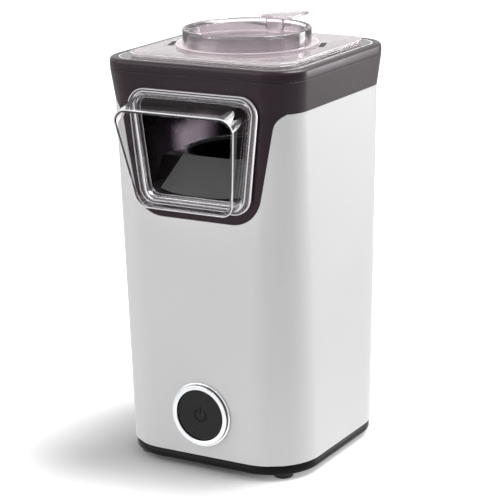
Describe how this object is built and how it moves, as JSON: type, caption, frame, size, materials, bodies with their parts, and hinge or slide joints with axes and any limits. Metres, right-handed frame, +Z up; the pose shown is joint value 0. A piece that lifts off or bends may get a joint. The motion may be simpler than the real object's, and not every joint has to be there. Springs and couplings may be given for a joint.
{
  "type": "popcorn maker",
  "caption": "Hot-air popcorn maker: rounded square tower with a black collar, clear lid and measuring cup, clear hooded front chute and a round push button.",
  "frame": {"origin": "on the floor, under the middle of the overall box", "axes": "+Z up along the tower, the chute and the button face -Y, +X is on the right of someone who faces the button"},
  "size_m": [0.151, 0.1774, 0.3058],
  "materials": {
    "casing_plastic": "smooth satin white plastic",
    "collar_plastic": "satin black plastic",
    "base_plastic": "satin black plastic",
    "foot_rubber": "matt black rubber",
    "clear_plastic": "clear polished plastic",
    "duct_plastic": "satin black plastic",
    "ramp_plastic": "satin dark grey plastic",
    "chamber_aluminium": "drawn bare aluminium",
    "seal_rubber": "matt red-brown silicone rubber",
    "inner_steel": "bare galvanised sheet",
    "mica": "pressed mica sheet",
    "heating_wire": "drawn resistance wire",
    "dark_inner_plastic": "moulded black plastic",
    "fuse_metal": "bare metal tube",
    "blower_plastic": "heat-resistant dark grey plastic",
    "fan_plastic": "heat-resistant grey plastic",
    "bearing_brass": "turned brass",
    "magnet_ferrite": "sintered ferrite",
    "circuit_board": "bare laminate board",
    "steel": "bright steel",
    "spring_steel": "drawn spring wire",
    "copper": "enamelled copper",
    "chrome_ring": "polished chrome plate",
    "button_plastic": "satin black plastic",
    "plunger_plastic": "natural acetal plastic",
    "gland_plastic": "satin black plastic"
  },
  "bodies": {
    "housing": {"outer_casing": "casing_plastic", "top_collar": "collar_plastic", "top_rim": "collar_plastic", "base_tray": "base_plastic", "foot_back_right": "foot_rubber", "foot_back_left": "foot_rubber", "foot_front_left": "foot_rubber", "foot_front_right": "foot_rubber", "chute_duct": "duct_plastic", "chute_ramp": "ramp_plastic", "popping_chamber": "chamber_aluminium", "chamber_seal": "seal_rubber", "heater_can": "inner_steel", "thermostat_bracket": "inner_steel", "thermal_fuse_clip": "inner_steel", "motor_can": "inner_steel", "mica_board_x": "mica", "mica_board_y": "mica", "heating_coil": "heating_wire", "thermostat": "dark_inner_plastic", "motor_end_cap": "dark_inner_plastic", "switch_body": "dark_inner_plastic", "switch_holder": "dark_inner_plastic", "button_ring_nut": "dark_inner_plastic", "cord_gland_nut": "dark_inner_plastic", "motor_brushes": "dark_inner_plastic", "rectifier_diodes": "dark_inner_plastic", "thermal_fuse": "fuse_metal", "blower_housing": "blower_plastic", "motor_bush_upper": "bearing_brass", "motor_bush_lower": "bearing_brass", "switch_terminals": "bearing_brass", "motor_magnets": "magnet_ferrite", "rectifier_board": "circuit_board", "casing_screws": "steel", "leg_screws": "steel", "motor_screws": "steel", "deck_screws": "steel", "button_spring": "spring_steel", "button_ring": "chrome_ring", "cord_gland": "gland_plastic"},
    "fan_rotor": {"motor_shaft": "steel", "armature_core": "steel", "armature_windings": "copper", "commutator": "copper", "blower_fan": "fan_plastic", "fan_clip": "steel"},
    "lid": {"lid": "clear_plastic"},
    "cup": {"measuring_cup": "clear_plastic"},
    "visor": {"chute_visor": "clear_plastic"},
    "button": {"power_button": "button_plastic", "switch_plunger": "plunger_plastic"}
  },
  "joints": [
    {"name": "fan_spin", "type": "hinge", "parent": "housing", "child": "fan_rotor", "pos_m": [0, 0.01321, 0.09], "axis": [0, 0, 1], "continuous": true},
    {"name": "lid_lift", "type": "slide", "parent": "housing", "child": "lid", "axis": [0, 0, 1], "range_m": [0, 0.12]},
    {"name": "cup_lift", "type": "slide", "parent": "lid", "child": "cup", "axis": [0, 0, 1], "range_m": [0, 0.06]},
    {"name": "visor_pull", "type": "slide", "parent": "housing", "child": "visor", "axis": [0, -1, 0], "range_m": [0, 0.06]},
    {"name": "button_press", "type": "slide", "parent": "housing", "child": "button", "axis": [0, 1, 0], "range_m": [0, 0.003], "stiffness_N_per_m": 600, "deforming": ["button_spring"]}
  ]
}
